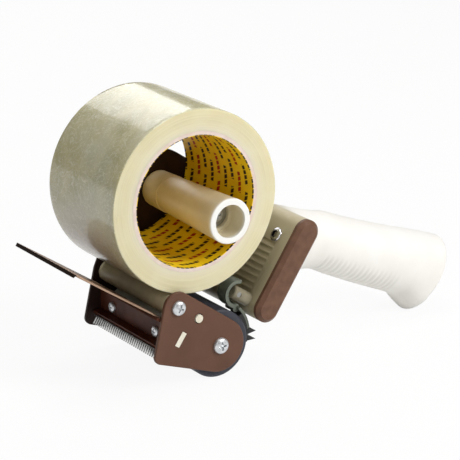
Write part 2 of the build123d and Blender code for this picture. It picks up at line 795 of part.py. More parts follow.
# Stud on the ribbed face; its tip carries the pin of the drag lever
stud_root = face_point(0.0)
pin_at = face_point(0.0, stud_length - pin_from_tip)
stud_plane = Plane(
    origin=(stud_root[0], stud_y, stud_root[1]),
    x_dir=(0, -1, 0),
    z_dir=(-along_z, 0, along_x),
)
with BuildPart() as lever_stud:
    with BuildSketch(stud_plane) as post:
        Circle(stud_radius)
    extrude(post.sketch, amount=stud_length)
    chamfer(lever_stud.faces().sort_by(Axis.X)[0].outer_wire().edges(), stud_chamfer)
    with BuildSketch(stud_plane) as thread:
        Circle(stud_thread_radius)
    extrude(thread.sketch, amount=-stud_thread_length)
    add_rod(pin_radius + press_gap, stud_y - stud_radius, stud_y + stud_radius, pin_at, Mode.SUBTRACT)
lever_stud.part.label = "lever_stud"
export_step(lever_stud.part, "parts/lever_stud.step")

ear_start = stud_y + stud_radius + ear_gap
ear_end = ear_start + ear_thickness
spring_start = ear_end + spring_gap
spring_end = spring_start + spring_turns * spring_pitch
pin_end = spring_end + pin_tail
clip_start = pin_end - clip_from_end
with BuildPart() as lever_pin:
    add_rod(pin_radius, stud_y - stud_radius + pin_inset, pin_end, pin_at)
lever_pin.part.label = "lever_pin"
export_step(lever_pin.part, "parts/lever_pin.step")

with BuildPart() as pin_clip:
    add_rod(pin_radius + clip_wall, clip_start, clip_start + clip_thickness, pin_at)
    add_rod(pin_radius + press_gap, clip_start, clip_start + clip_thickness, pin_at, Mode.SUBTRACT)
pin_clip.part.label = "pin_clip"
export_step(pin_clip.part, "parts/pin_clip.step")

# Drag lever: a C-shaped strap round the stud's tip, an ear on the pin, a backing on the shoe
strap_outer_radius = strap_inner_radius + strap_thickness
strap_start = ear_end - strap_width
shoe_inner_radius = applicator_radius + seat_gap
shoe_outer_radius = shoe_inner_radius + shoe_thickness
backing_outer_radius = shoe_outer_radius + shoe_backing
shoe_start = stud_y - shoe_width / 2
tooth_base_radius = shoe_outer_radius - shoe_tooth_sink
lever_foot = polar(applicator_at, shoe_outer_radius - shoe_backing / 3, lever_foot_angle)
lever_knee = polar(pin_at, strap_inner_radius + strap_thickness / 2, ear_end_angle)
with BuildPart() as drag_lever:
    strap_radii = (strap_inner_radius, strap_outer_radius)
    add_sector(strap_start, ear_end, pin_at, strap_radii, (strap_start_angle, strap_end_angle))
    ear_radii = (pin_radius + running_fit, strap_outer_radius)
    add_sector(ear_start, ear_end, pin_at, ear_radii, (ear_start_angle, ear_end_angle))
    add_rod(pin_radius + ear_boss_wall, ear_start, ear_end, pin_at)
    add_hull(strap_start, ear_end, [(lever_knee, lever_knee_radius), (lever_foot, lever_foot_radius)])
    backing_radii = (shoe_outer_radius, backing_outer_radius)
    backing_angles = (backing_start_angle, backing_end_angle)
    add_sector(shoe_start, shoe_start + shoe_width, applicator_at, backing_radii, backing_angles)
    add_rod(pin_radius + running_fit, ear_start, ear_end, pin_at, Mode.SUBTRACT)
drag_lever.part.label = "drag_lever"
export_step(drag_lever.part, "parts/drag_lever.step")

with BuildPart() as drag_shoe:
    shoe_radii = (shoe_inner_radius, shoe_outer_radius)
    shoe_angles = (shoe_bottom_angle, shoe_top_angle)
    add_sector(shoe_start, shoe_start + shoe_width, applicator_at, shoe_radii, shoe_angles)
    for angle in shoe_tooth_angles:
        with BuildSketch(side_plane(shoe_start)) as tooth:
            with BuildLine():
                Polyline(
                    polar(applicator_at, tooth_base_radius, angle + shoe_tooth_half_angle),
                    polar(applicator_at, shoe_outer_radius + shoe_tooth_height, angle - shoe_tooth_lean),
                    polar(applicator_at, tooth_base_radius, angle - shoe_tooth_half_angle),
                    close=True,
                )
            make_face()
        extrude(tooth.sketch, amount=-shoe_width)
drag_shoe.part.label = "drag_shoe"
export_step(drag_shoe.part, "parts/drag_shoe.step")

# Torsion spring round the pin beside the ear
coil_radius = pin_radius + spring_wire_radius + spring_pin_gap
coil_height = spring_turns * spring_pitch - 2 * spring_wire_radius
coil_centre = (pin_at[0], spring_start + spring_wire_radius, pin_at[1])
with BuildPart() as lever_spring:
    with BuildLine() as coil:
        Helix(spring_pitch, coil_height, coil_radius, center=coil_centre, direction=(0, 1, 0))
    with BuildSketch(Plane(origin=coil.line @ 0, z_dir=coil.line % 0)) as wire:
        Circle(spring_wire_radius)
    sweep(wire.sketch, path=coil.line)
lever_spring.part.label = "lever_spring"
export_step(lever_spring.part, "parts/lever_spring.step")

print("roll centre", roll_at, "guide", guide_at, "applicator", applicator_at)
print("pin", pin_at, "flap pivot", flap_pivot, "mid y", mid_y, "stud y", stud_y)
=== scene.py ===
"""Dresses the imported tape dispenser: finishes, wound roll, moulded handle, camera and light.

Lengths are in metres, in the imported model's frame: X to the handle, Y into the
dispenser from its open side, Z up, origin at the open end of the hub tube.
"""
import logging
import math
from dataclasses import dataclass
from enum import Enum
from typing import Iterable, Sequence

import bmesh
import bpy
from mathutils import Matrix, Vector, noise

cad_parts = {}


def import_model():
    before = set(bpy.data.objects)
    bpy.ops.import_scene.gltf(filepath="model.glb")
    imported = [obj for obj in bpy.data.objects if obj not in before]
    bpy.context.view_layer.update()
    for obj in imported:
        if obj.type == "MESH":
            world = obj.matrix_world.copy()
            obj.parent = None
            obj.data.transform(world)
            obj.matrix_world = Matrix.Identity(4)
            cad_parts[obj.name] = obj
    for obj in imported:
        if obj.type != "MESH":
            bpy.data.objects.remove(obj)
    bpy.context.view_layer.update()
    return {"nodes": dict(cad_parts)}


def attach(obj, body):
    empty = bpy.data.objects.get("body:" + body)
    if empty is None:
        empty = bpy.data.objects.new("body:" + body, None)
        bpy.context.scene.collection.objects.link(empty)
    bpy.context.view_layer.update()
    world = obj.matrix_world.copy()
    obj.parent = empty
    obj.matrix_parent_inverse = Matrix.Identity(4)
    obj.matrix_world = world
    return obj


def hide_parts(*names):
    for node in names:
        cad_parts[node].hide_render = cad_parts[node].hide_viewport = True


log = logging.getLogger("dispenser")
MM = 0.001
Colour = tuple[float, float, float, float]
Point = tuple[float, float, float]


def srgb(red: int, green: int, blue: int) -> Colour:
    """Linear colour of a screen colour given from 0 to 255."""
    def linear(value: int) -> float:
        """One channel on the linear scale."""
        share = value / 255
        return share / 12.92 if share <= 0.04045 else ((share + 0.055) / 1.055) ** 2.4
    return (linear(red), linear(green), linear(blue), 1.0)


class Bench:
    """Adds and joins the nodes of one material."""

    def __init__(self, name: str) -> None:
        """Start an empty material with its main shader in place."""
        self.material = bpy.data.materials.new(name)
        self.material.use_nodes = True
        self.tree = self.material.node_tree
        self.tree.nodes.clear()
        self.shader = self.tree.nodes.new("ShaderNodeBsdfPrincipled")
        output = self.tree.nodes.new("ShaderNodeOutputMaterial")
        self.tree.links.new(self.shader.outputs[0], output.inputs["Surface"])
        self.place = self.add("ShaderNodeTexCoord").outputs["Object"]

    def add(self, kind: str, inputs: dict | None = None, **settings: object) -> bpy.types.Node:
        """Add a node.

        Args:
            kind: The node's type name.
            inputs: Socket name or number to a value, or to a socket that feeds it.
            settings: Properties of the node.

        Returns:
            The new node.
        """
        node = self.tree.nodes.new(kind)
        for key, value in settings.items():
            setattr(node, key, value)
        for key, value in (inputs or {}).items():
            if isinstance(value, bpy.types.NodeSocket):
                self.tree.links.new(value, node.inputs[key])
            else:
                node.inputs[key].default_value = value
        return node

    def set(self, **values: object) -> None:
        """Set or feed the main shader's sockets; underscores stand for spaces."""
        for key, value in values.items():
            socket = self.shader.inputs[key.replace("_", " ")]
            if isinstance(value, bpy.types.NodeSocket):
                self.tree.links.new(value, socket)
            else:
                socket.default_value = value

    def math(self, operation: str, first: object, second: object = 0.0) -> bpy.types.NodeSocket:
        """Result of one sum on two numbers or sockets."""
        return self.add("ShaderNodeMath", {0: first, 1: second}, operation=operation).outputs[0]

    def noise(self, size: float, detail: float = 3.0, place: object = None,
              distortion: float = 0.0) -> bpy.types.NodeSocket:
        """Grey noise whose features are about this size in metres."""
        inputs = {"Vector": place or self.place, "Scale": 1 / size, "Detail": detail,
                  "Distortion": distortion}
        return self.add("ShaderNodeTexNoise", inputs).outputs["Fac"]

    def spread(self, value: object, low: float, high: float, to_low: float = 0.0,
               to_high: float = 1.0) -> bpy.types.NodeSocket:
        """Value moved from one range to another and kept within it."""
        inputs = {"Value": value, "From Min": low, "From Max": high, "To Min": to_low,
                  "To Max": to_high}
        return self.add("ShaderNodeMapRange", inputs).outputs[0]

    def mix(self, share: object, first: object, second: object) -> bpy.types.NodeSocket:
        """Colour between two colours."""
        inputs = {0: share, 6: first, 7: second}
        return self.add("ShaderNodeMix", inputs, data_type="RGBA").outputs[2]

    def bump(self, height: object, depth: float, before: object = None) -> bpy.types.NodeSocket:
        """Normal of a surface raised by height times depth in metres."""
        inputs = {"Height": height, "Distance": depth, "Strength": 1.0}
        if before is not None:
            inputs["Normal"] = before
        return self.add("ShaderNodeBump", inputs).outputs[0]

    def polar(self, centre: tuple[float, float]) -> tuple[bpy.types.NodeSocket, ...]:
        """Radius, angle and depth of a point round an axis along Y."""
        inputs = {"Vector": self.place, "Location": (-centre[0], 0.0, -centre[1])}
        moved = self.add("ShaderNodeMapping", inputs).outputs[0]
        axes = self.add("ShaderNodeSeparateXYZ", {0: moved}).outputs
        squares = [self.math("MULTIPLY", axis, axis) for axis in (axes[0], axes[2])]
        radius = self.math("SQRT", self.math("ADD", *squares))
        return radius, self.math("ARCTAN2", axes[2], axes[0]), axes[1]

    def join(self, x: object, y: object, z: object = 0.0) -> bpy.types.NodeSocket:
        """Vector of three numbers."""
        return self.add("ShaderNodeCombineXYZ", {0: x, 1: y, 2: z}).outputs[0]


@dataclass(frozen=True)
class Finish:
    """A moulded or painted surface: two colours in a soft mottle, and a fine grain."""

    name: str
    colour: Colour
    second: Colour
    roughness: float = 0.45
    mottle: float = 12 * MM
    grain: float = 0.8 * MM
    grain_depth: float = 0.02 * MM
    metallic: float = 0.0
    coat: float = 0.0
    shine: float = 0.5

    def tint(self, bench: Bench) -> bpy.types.NodeSocket:
        """Colour of the surface."""
        return bench.mix(bench.spread(bench.noise(self.mottle, 4.0), 0.35, 0.65), self.colour, self.second)

    def relief(self, bench: Bench) -> bpy.types.NodeSocket:
        """Normal of the surface."""
        return bench.bump(bench.noise(self.grain), self.grain_depth)

    def material(self) -> bpy.types.Material:
        """Build the material."""
        bench = Bench(self.name)
        spread = 0.12 * self.roughness
        rough = bench.spread(bench.noise(self.mottle * 0.6), 0.3, 0.7, self.roughness - spread,
                             self.roughness + spread)
        bench.set(Base_Color=self.tint(bench), Roughness=rough, Normal=self.relief(bench))
        bench.set(Metallic=self.metallic, Coat_Weight=self.coat, Specular_IOR_Level=self.shine)
        self.extras(bench)
        return bench.material

    def extras(self, bench: Bench) -> None:
        """Set what only this finish has."""


@dataclass(frozen=True)
class TurnedMetal(Finish):
    """Metal turned or drawn round an axis along Y, with fine rings."""

    centre: tuple[float, float] = (0.0, 0.0)
    ring: float = 0.25 * MM

    def relief(self, bench: Bench) -> bpy.types.NodeSocket:
        """Fine rings round the axis."""
        radius, _, depth = bench.polar(self.centre)
        rings = bench.noise(self.ring, 2.0, bench.join(radius, depth))
        return bench.bump(rings, self.grain_depth)


@dataclass(frozen=True)
class WoundWrap(Finish):
    """Outer turns of clear film with whitish creases and trapped air."""

    def tint(self, bench: Bench) -> bpy.types.NodeSocket:
        """Tan film with pale creases and a few darker clear patches."""
        base = bench.mix(bench.spread(bench.noise(26 * MM, 4.0, distortion=0.8), 0.38, 0.62),
                         self.colour, self.second)
        cloud = bench.spread(bench.noise(40 * MM, 3.0, distortion=0.4), 0.42, 0.62, 0.0, 0.5)
        base = bench.mix(cloud, base, srgb(214, 212, 190))
        for size, bend, strength in ((11 * MM, 2.6, 0.7), (5 * MM, 1.8, 0.45)):
            veins = bench.noise(size, 6.0, distortion=bend)
            crease = bench.math("ABSOLUTE", bench.math("SUBTRACT", veins, 0.5))
            lit = bench.spread(crease, 0.0, 0.022, strength, 0.0)
            base = bench.mix(lit, base, srgb(236, 233, 212))
        haze = bench.spread(bench.noise(2.4 * MM, 5.0, distortion=1.0), 0.52, 0.75, 0.0, 0.35)
        return bench.mix(haze, base, srgb(228, 225, 202))

    def relief(self, bench: Bench) -> bpy.types.NodeSocket:
        """Long shallow creases and a fine waviness."""
        wide = bench.bump(bench.noise(9 * MM, 6.0, distortion=2.2), 0.12 * MM)
        return bench.bump(bench.noise(2 * MM, 4.0), 0.03 * MM, wide)

    def extras(self, bench: Bench) -> None:
        """Light passes a little way into the film."""
        bench.set(Subsurface_Weight=0.35, Subsurface_Radius=(0.6, 0.55, 0.35), Subsurface_Scale=6 * MM)


@dataclass(frozen=True)
class WoundEdge(Finish):
    """Side of the wound film: hundreds of turns seen edge-on."""

    centre: tuple[float, float] = (0.0, 0.0)

    def tint(self, bench: Bench) -> bpy.types.NodeSocket:
        """Faint rings, paler towards the core."""
        radius, angle, _ = bench.polar(self.centre)
        rings = bench.noise(0.5 * MM, 3.0, bench.join(radius, bench.math("MULTIPLY", angle, 0.4 * MM)))
        tone = bench.mix(bench.spread(rings, 0.3, 0.7, 0.0, 0.7), self.colour, self.second)
        inner = bench.spread(radius, 41 * MM, 46 * MM, 0.45, 0.0)
        cloud = bench.spread(bench.noise(14 * MM, 3.0), 0.4, 0.7, 0.0, 0.4)
        return bench.mix(cloud, bench.mix(inner, tone, srgb(236, 226, 206)), srgb(229, 223, 192))

    def relief(self, bench: Bench) -> bpy.types.NodeSocket:
        """Edges of the turns."""
        radius, _, _ = bench.polar(self.centre)
        return bench.bump(bench.noise(0.35 * MM, 3.0, bench.join(radius, 0.0)), 0.03 * MM)

    def extras(self, bench: Bench) -> None:
        """Light passes some way into the edge."""
        bench.set(Subsurface_Weight=0.45, Subsurface_Radius=(0.7, 0.6, 0.4), Subsurface_Scale=8 * MM)


@dataclass(frozen=True)
class PrintedLiner(Finish):
    """Yellow paper inside the core, printed with plain bars in rows."""

    centre: tuple[float, float] = (0.0, 0.0)
    bore: float = 37.7 * MM
    row: float = 7.2 * MM

    def tint(self, bench: Bench) -> bpy.types.NodeSocket:
        """Yellow ground with dark bars, and red ones in every third row."""
        _, angle, depth = bench.polar(self.centre)
        along = bench.math("MULTIPLY", angle, self.bore)
        flat = bench.join(along, depth)
        brick = {"Vector": flat, "Scale": 1.0, "Brick Width": 17 * MM, "Row Height": self.row,
                 "Mortar Size": 2.3 * MM, "Mortar Smooth": 0.1, "Color1": (0, 0, 0, 1),
                 "Color2": (0, 0, 0, 1), "Mortar": (1, 1, 1, 1)}
        bars = bench.add("ShaderNodeTexBrick", brick, offset=0.37).outputs["Fac"]
        ink = bench.math("SUBTRACT", 1.0, bars)
        cuts = bench.math("PINGPONG", bench.math("ADD", along, bench.math("MULTIPLY", depth, 0.37)), 1.55 * MM)
        gaps = bench.spread(cuts, 0.25 * MM, 0.4 * MM)
        count = bench.math("FLOOR", bench.math("DIVIDE", depth, self.row))
        is_red = bench.math("LESS_THAN", bench.math("MODULO", bench.math("ADD", count, 1.0), 3.0), 0.5)
        ink_colour = bench.mix(is_red, srgb(38, 26, 10), srgb(170, 44, 14))
        ground = bench.mix(bench.spread(bench.noise(9 * MM), 0.3, 0.7), self.colour, self.second)
        return bench.mix(bench.math("MULTIPLY", ink, gaps), ground, ink_colour)


@dataclass(frozen=True)
class TubePlastic(Finish):
    """Pale plastic, whitish at its open end, with painted shade and a painted yellow reflection making it tan
    further in.
    """

    def tint(self, bench: Bench) -> bpy.types.NodeSocket:
        """Whitish rim, then the tan tone of painted shade and painted yellow reflection, with a soft mottle."""
        depth = bench.add("ShaderNodeSeparateXYZ", {0: bench.place}).outputs[1]
        shade_and_reflection_tone = bench.mix(bench.spread(bench.noise(self.mottle, 4.0), 0.35, 0.65), self.colour, self.second)
        # past the rim the colour turns to the tan of painted shade and painted reflection of the yellow liner
        return bench.mix(bench.spread(depth, 0.2 * MM, 3 * MM), srgb(244, 243, 238), shade_and_reflection_tone)


@dataclass(frozen=True)
class PaintWithInnerShade(Finish):
    """Brown paint, with painted shade on the side that looks into the dispenser."""

    # inner: colour of the painted shade on the inside face
    inner: Colour = (0.0, 0.0, 0.0, 1.0)
    inner_y: float = 79.4 * MM

    def tint(self, bench: Bench) -> bpy.types.NodeSocket:
        """Brown outside and painted shade, a darker tone, inside."""
        depth = bench.add("ShaderNodeSeparateXYZ", {0: bench.place}).outputs[1]
        outer = bench.mix(bench.spread(bench.noise(self.mottle, 4.0), 0.35, 0.65), self.colour, self.second)
        # the inside face, below inner_y, gets the painted shade colour
        return bench.mix(bench.spread(depth, self.inner_y, self.inner_y + 0.6 * MM), self.inner, outer)


@dataclass(frozen=True)
class HandlePlastic(Finish):
    """Off-white moulding with painted shade, a khaki tone, towards the ribbed face of its block."""

    low: tuple[float, float] = (0.0, 0.0)
    slope: float = 0.0
    shade: Colour = (0.5, 0.5, 0.5, 1.0)

    def tint(self, bench: Bench) -> bpy.types.NodeSocket:
        """Own off-white tone on the grip, and painted shade in a khaki tone near the ribs."""
        moved = bench.add("ShaderNodeVectorMath", {0: bench.place, 1: (-self.low[0], 0.0, -self.low[1])},
                          operation="ADD").outputs[0]
        face = (-math.sin(self.slope), 0.0, math.cos(self.slope))
        out = bench.add("ShaderNodeVectorMath", {0: moved, 1: face}, operation="DOT_PRODUCT").outputs["Value"]
        wave = bench.spread(bench.noise(9 * MM, 3.0), 0.3, 0.7, -1.5 * MM, 1.5 * MM)
        # share of painted shade, rising towards the ribbed face
        share = bench.spread(bench.math("ADD", out, wave), -9 * MM, 7 * MM)
        grip_tone = bench.mix(bench.spread(bench.noise(self.mottle, 4.0), 0.35, 0.65), self.colour, self.second)
        return bench.mix(share, grip_tone, self.shade)


@dataclass(frozen=True)
class FlapPlastic(Finish):
    """Tan sheet with painted shade, a dark band, along its free edge."""

    pivot: tuple[float, float] = (0.0, 0.0)
    slope: float = 0.0
    edge_at: float = 1.0
    # edge: colour of the painted shade along the free edge
    edge: Colour = (0.0, 0.0, 0.0, 1.0)

    def tint(self, bench: Bench) -> bpy.types.NodeSocket:
        """Tan up to the free edge, then painted shade along it."""
        moved = bench.add("ShaderNodeVectorMath", {0: bench.place, 1: (-self.pivot[0], 0.0, -self.pivot[1])},
                          operation="ADD").outputs[0]
        along = (math.cos(self.slope), 0.0, math.sin(self.slope))
        reach = bench.add("ShaderNodeVectorMath", {0: moved, 1: along}, operation="DOT_PRODUCT")
        tan = bench.mix(bench.spread(bench.noise(self.mottle, 4.0), 0.35, 0.65), self.colour, self.second)
        # the last part before the free edge gets the painted shade colour
        return bench.mix(bench.spread(reach.outputs["Value"], self.edge_at - 0.3 * MM, self.edge_at), tan,
                         self.edge)


class Facing(Enum):
    """Way that a screw or bolt head looks."""

    NEAR = (0.0, -1.0, 0.0)
    FAR = (0.0, 1.0, 0.0)
    KNIFE = (-1.0, 0.0, 0.0)
    RIBS = (-math.sin(math.radians(56.8)), 0.0, math.cos(math.radians(56.8)))


@dataclass(frozen=True)
class Seat:
    """Place where a head stands, the way it faces and its radius."""

    place: Point
    facing: Facing
    head: float


ROLL = (-20.0627 * MM, 13.5325 * MM)
GUIDE = (-34.5822 * MM, -44.2719 * MM)
APPLICATOR = (-7.1002 * MM, -71.7999 * MM)
BLOCK_LOW = (25.9178 * MM, -57.3119 * MM)
BLOCK_SLOPE = math.radians(56.8)
BLOCK_LENGTH = 49 * MM
BLOCK_RADIUS = 7.8 * MM
FLAP_PIVOT = (-46.7564 * MM, -47.7387 * MM)
FLAP_SLOPE = math.radians(147)
FLAP_LENGTH = 59 * MM
NEAR_Y, FAR_Y, MIDDLE_Y = 4 * MM, 76 * MM, 40 * MM
NEAR_OUTER_Y, FAR_OUTER_Y, FAR_INNER_Y = -0.5 * MM, 80.5 * MM, 78.5 * MM

BROWN = Finish("brown_paint", srgb(104, 71, 54), srgb(95, 64, 48), 0.45, 20 * MM, 0.9 * MM, 0.015 * MM,
               shine=0.3)
# inner colour is painted shade on the far plate's inside face
FAR_BROWN = PaintWithInnerShade("far_brown_paint_inner_shade", srgb(104, 71, 54), srgb(95, 64, 48), 0.5, 20 * MM, 0.9 * MM,
                           0.015 * MM, shine=0.25, inner=srgb(44, 28, 23))
CAP_BROWN = Finish("cap_brown", srgb(112, 78, 58), srgb(98, 68, 50), 0.5, 5 * MM, 0.5 * MM, 0.04 * MM,
                   shine=0.35)
HOLDER_BROWN = Finish("holder_brown", srgb(84, 42, 24), srgb(66, 32, 19), 0.5, 15 * MM, 0.9 * MM, 0.015 * MM,
                      shine=0.2)
PALE = Finish("pale_plastic", srgb(236, 231, 214), srgb(226, 219, 198), 0.4, 15 * MM, 1.2 * MM, 0.01 * MM)
# a darker tan copy of the pale plastic: painted shade on the guide roller
GUIDE_SHADED_PALE = Finish("guide_plastic_painted_shade", srgb(206, 198, 166), srgb(190, 181, 148), 0.42, 10 * MM, 1.2 * MM,
                    0.01 * MM)
# both tan colours are painted shade and painted reflection of the yellow liner round the tube
TUBE = TubePlastic("hub_plastic", srgb(228, 218, 188), srgb(216, 204, 172), 0.4, 15 * MM, 1.2 * MM, 0.01 * MM)
BUSH = Finish("bush_plastic", srgb(214, 212, 204), srgb(205, 203, 194), 0.45)
# shade is painted shade: khaki on the ribbed face of the white block
HANDLE = HandlePlastic("handle_plastic", srgb(240, 238, 233), srgb(235, 232, 226), 0.5, 25 * MM, 0.6 * MM,
                       0.02 * MM, low=BLOCK_LOW, slope=BLOCK_SLOPE, shade=srgb(178, 166, 134))
RUBBER = Finish("roller_rubber", srgb(58, 60, 70), srgb(50, 52, 61), 0.6, 6 * MM, 0.4 * MM, 0.03 * MM)
ROLLER_CORE = Finish("roller_core_plastic", srgb(70, 70, 74), srgb(62, 62, 66), 0.5)
SHOE = Finish("shoe_rubber", srgb(24, 24, 24), srgb(32, 31, 30), 0.55, 5 * MM, 0.5 * MM, 0.04 * MM)
# edge colour is painted shade on the flap's free edge
FLAP = FlapPlastic("flap_plastic", srgb(176, 146, 124), srgb(150, 120, 98), 0.45, 18 * MM, shine=0.3,
                   pivot=FLAP_PIVOT, slope=FLAP_SLOPE, edge_at=FLAP_LENGTH - 1.4 * MM, edge=srgb(38, 25, 17))
CASTING = Finish("lever_casting", srgb(112, 118, 104), srgb(98, 104, 92), 0.4, 4 * MM, 0.7 * MM, 0.06 * MM)
SCREW = Finish("bright_screws", srgb(226, 228, 230), srgb(204, 206, 208), 0.38, 2.5 * MM, 0.5 * MM,
               0.015 * MM, metallic=0.85)
BOLT = Finish("bright_bolts", srgb(228, 228, 230), srgb(206, 206, 210), 0.22, 3 * MM, 0.5 * MM,
              0.01 * MM, metallic=1.0)
# near-black painted shade for the inside of the bolt sockets
SOCKET_SHADE = Finish("bolt_socket_painted_shade", srgb(22, 22, 24), srgb(12, 12, 14), 0.6, 2 * MM, shine=0.1)
# olive tone is a painted reflection of the shaded block on the steel stud
STUD_REFLECTION = Finish("stud_painted_reflection", srgb(150, 142, 118), srgb(132, 124, 102), 0.4, 5 * MM, 0.6 * MM, 0.02 * MM)
BLADE = Finish("blade_steel", srgb(200, 200, 198), srgb(176, 176, 174), 0.3, 4 * MM, 0.3 * MM,
               0.01 * MM, metallic=1.0)
STEEL = TurnedMetal("turned_steel", srgb(176, 176, 172), srgb(158, 158, 155), 0.3, 6 * MM,
                    grain_depth=0.01 * MM, metallic=1.0)
BOARD = Finish("core_board", srgb(232, 214, 204), srgb(222, 202, 190), 0.85, 5 * MM, 0.5 * MM, 0.06 * MM)
LINER = PrintedLiner("printed_liner", srgb(250, 214, 30), srgb(243, 203, 16), 0.45, centre=ROLL, shine=0.3)
WRAP = WoundWrap("film_wrap", srgb(208, 200, 158), srgb(186, 180, 140), 0.24, coat=0.3)
EDGE = WoundEdge("film_edge", srgb(226, 217, 180), srgb(208, 198, 158), 0.35, centre=ROLL)

CAD_FINISHES: dict[Finish, tuple[str, ...]] = {
    BROWN: ("near_side_plate",),
    FAR_BROWN: ("far_side_plate",),
    CAP_BROWN: ("near_cap",),
    HOLDER_BROWN: ("knife_holder",),
    PALE: ("cross_bar",),
    GUIDE_SHADED_PALE: ("guide_roller",),
    TUBE: ("hub_tube",),
    BUSH: ("guide_bushes", "applicator_bushes"),
    RUBBER: ("applicator_tyre",),
    ROLLER_CORE: ("applicator_core",),
    SHOE: ("drag_shoe",),
    FLAP: ("wiper_root", "wiper_flap"),
    CASTING: ("drag_lever",),
    SCREW: ("guide_screws", "applicator_screws", "holder_screws", "block_screws", "hub_screw", "hub_nut"),
    BOLT: ("block_bolts",),
    BLADE: ("knife_blade",),
    STEEL: ("guide_axle", "applicator_axle", "hub_arbor", "hub_washer", "hub_spring_washer",
            "lever_pin", "pin_clip", "lever_spring"),
    STUD_REFLECTION: ("lever_stud",),
    BOARD: ("tape_core",),
    LINER: ("core_liner",),
}


def new_piece(name: str, mesh: bpy.types.Mesh, finishes: Sequence[bpy.types.Material]) -> bpy.types.Object:
    """Put a mesh in the scene as a piece with its materials."""
    piece = bpy.data.objects.new(name, mesh)
    bpy.context.scene.collection.objects.link(piece)
    mesh.materials.clear()
    for finish in finishes:
        mesh.materials.append(finish)
    return piece


def plain_mesh(piece: bpy.types.Object, name: str) -> bpy.types.Mesh:
    """Mesh of an object with its modifiers worked in."""
    graph = bpy.context.evaluated_depsgraph_get()
    mesh = bpy.data.meshes.new_from_object(piece.evaluated_get(graph))
    mesh.name = name
    return mesh


def grid_mesh(name: str, rows: list[list[Point]], closed_rows: bool) -> bpy.types.Mesh:
    """Mesh of quads over rows of points; each row closes on itself if asked."""
    mesh = bpy.data.meshes.new(name)
    width = len(rows[0])
    steps = width if closed_rows else width - 1
    faces = []
    for r in range(len(rows) - 1):
        for c in range(steps):
            n = (c + 1) % width
            faces.append((r * width + c, r * width + n, (r + 1) * width + n, (r + 1) * width + c))
    mesh.from_pydata([point for row in rows for point in row], [], faces)
    return mesh


def tidy_mesh(mesh: bpy.types.Mesh, smooth_angle: float = 40.0) -> None:
    """Merge doubles, turn the faces outwards and shade smooth below an angle."""
    work = bmesh.new()
    work.from_mesh(mesh)
    bmesh.ops.remove_doubles(work, verts=work.verts, dist=1e-6)
    bmesh.ops.recalc_face_normals(work, faces=work.faces)
    for face in work.faces:
        face.smooth = True
    for edge in work.edges:
        edge.smooth = len(edge.link_faces) != 2 or edge.calc_face_angle(0.0) < math.radians(smooth_angle)
    work.to_mesh(mesh)
    work.free()


class SizedTree:
    """A Geometry Nodes tree with named sizes as its inputs."""

    def __init__(self, name: str, sizes: dict[str, float | int], base: bpy.types.Mesh | None = None) -> None:
        """Make the tree, one input for each size, and one for the points that it works on."""
        self.tree = bpy.data.node_groups.new(name, "GeometryNodeTree")
        self.base = base
        if base is not None:
            self.tree.interface.new_socket("Points", in_out="INPUT", socket_type="NodeSocketGeometry")
        self.tree.interface.new_socket("Geometry", in_out="OUTPUT", socket_type="NodeSocketGeometry")
        self.sizes = sizes
        for key, value in sizes.items():
            kind = "NodeSocketInt" if isinstance(value, int) else "NodeSocketFloat"
            self.tree.interface.new_socket(key, in_out="INPUT", socket_type=kind)
        self.given = self.tree.nodes.new("NodeGroupInput").outputs

    def add(self, kind: str, inputs: dict | None = None, **settings: object) -> bpy.types.Node:
        """Add a node with its settings, its values and the sockets that feed it."""
        node = self.tree.nodes.new(kind)
        for key, value in settings.items():
            setattr(node, key, value)
        for key, value in (inputs or {}).items():
            if isinstance(value, bpy.types.NodeSocket):
                self.tree.links.new(value, node.inputs[key])
            else:
                node.inputs[key].default_value = value
        return node

    def vector(self, x: object = 0.0, y: object = 0.0, z: object = 0.0) -> bpy.types.NodeSocket:
        """Vector of three numbers or sockets."""
        return self.add("ShaderNodeCombineXYZ", {0: x, 1: y, 2: z}).outputs[0]

    def times(self, first: object, second: object) -> bpy.types.NodeSocket:
        """Product of two numbers or sockets."""
        return self.add("ShaderNodeMath", {0: first, 1: second}, operation="MULTIPLY").outputs[0]

    def mesh(self, name: str, shape: bpy.types.NodeSocket, finish: bpy.types.Material) -> bpy.types.Mesh:
        """End the tree and turn what it makes into a plain mesh.

        Args:
            name: Name of the mesh.
            shape: Socket with the finished geometry.
            finish: Material of every face.

        Returns:
            The plain mesh.
        """
        real = self.add("GeometryNodeRealizeInstances", {0: shape}).outputs[0]
        dressed = self.add("GeometryNodeSetMaterial", {"Geometry": real, "Material": finish}).outputs[0]
        output = self.tree.nodes.new("NodeGroupOutput")
        self.tree.links.new(dressed, output.inputs[0])
        holder = bpy.data.objects.new(name, self.base or bpy.data.meshes.new(name))
        bpy.context.scene.collection.objects.link(holder)
        modifier = holder.modifiers.new("sizes", "NODES")
        modifier.node_group = self.tree
        for item in self.tree.interface.items_tree:
            if item.in_out == "INPUT" and item.name in self.sizes:
                modifier[item.identifier] = self.sizes[item.name]
        made = plain_mesh(holder, name)
        bpy.data.objects.remove(holder)
        return made


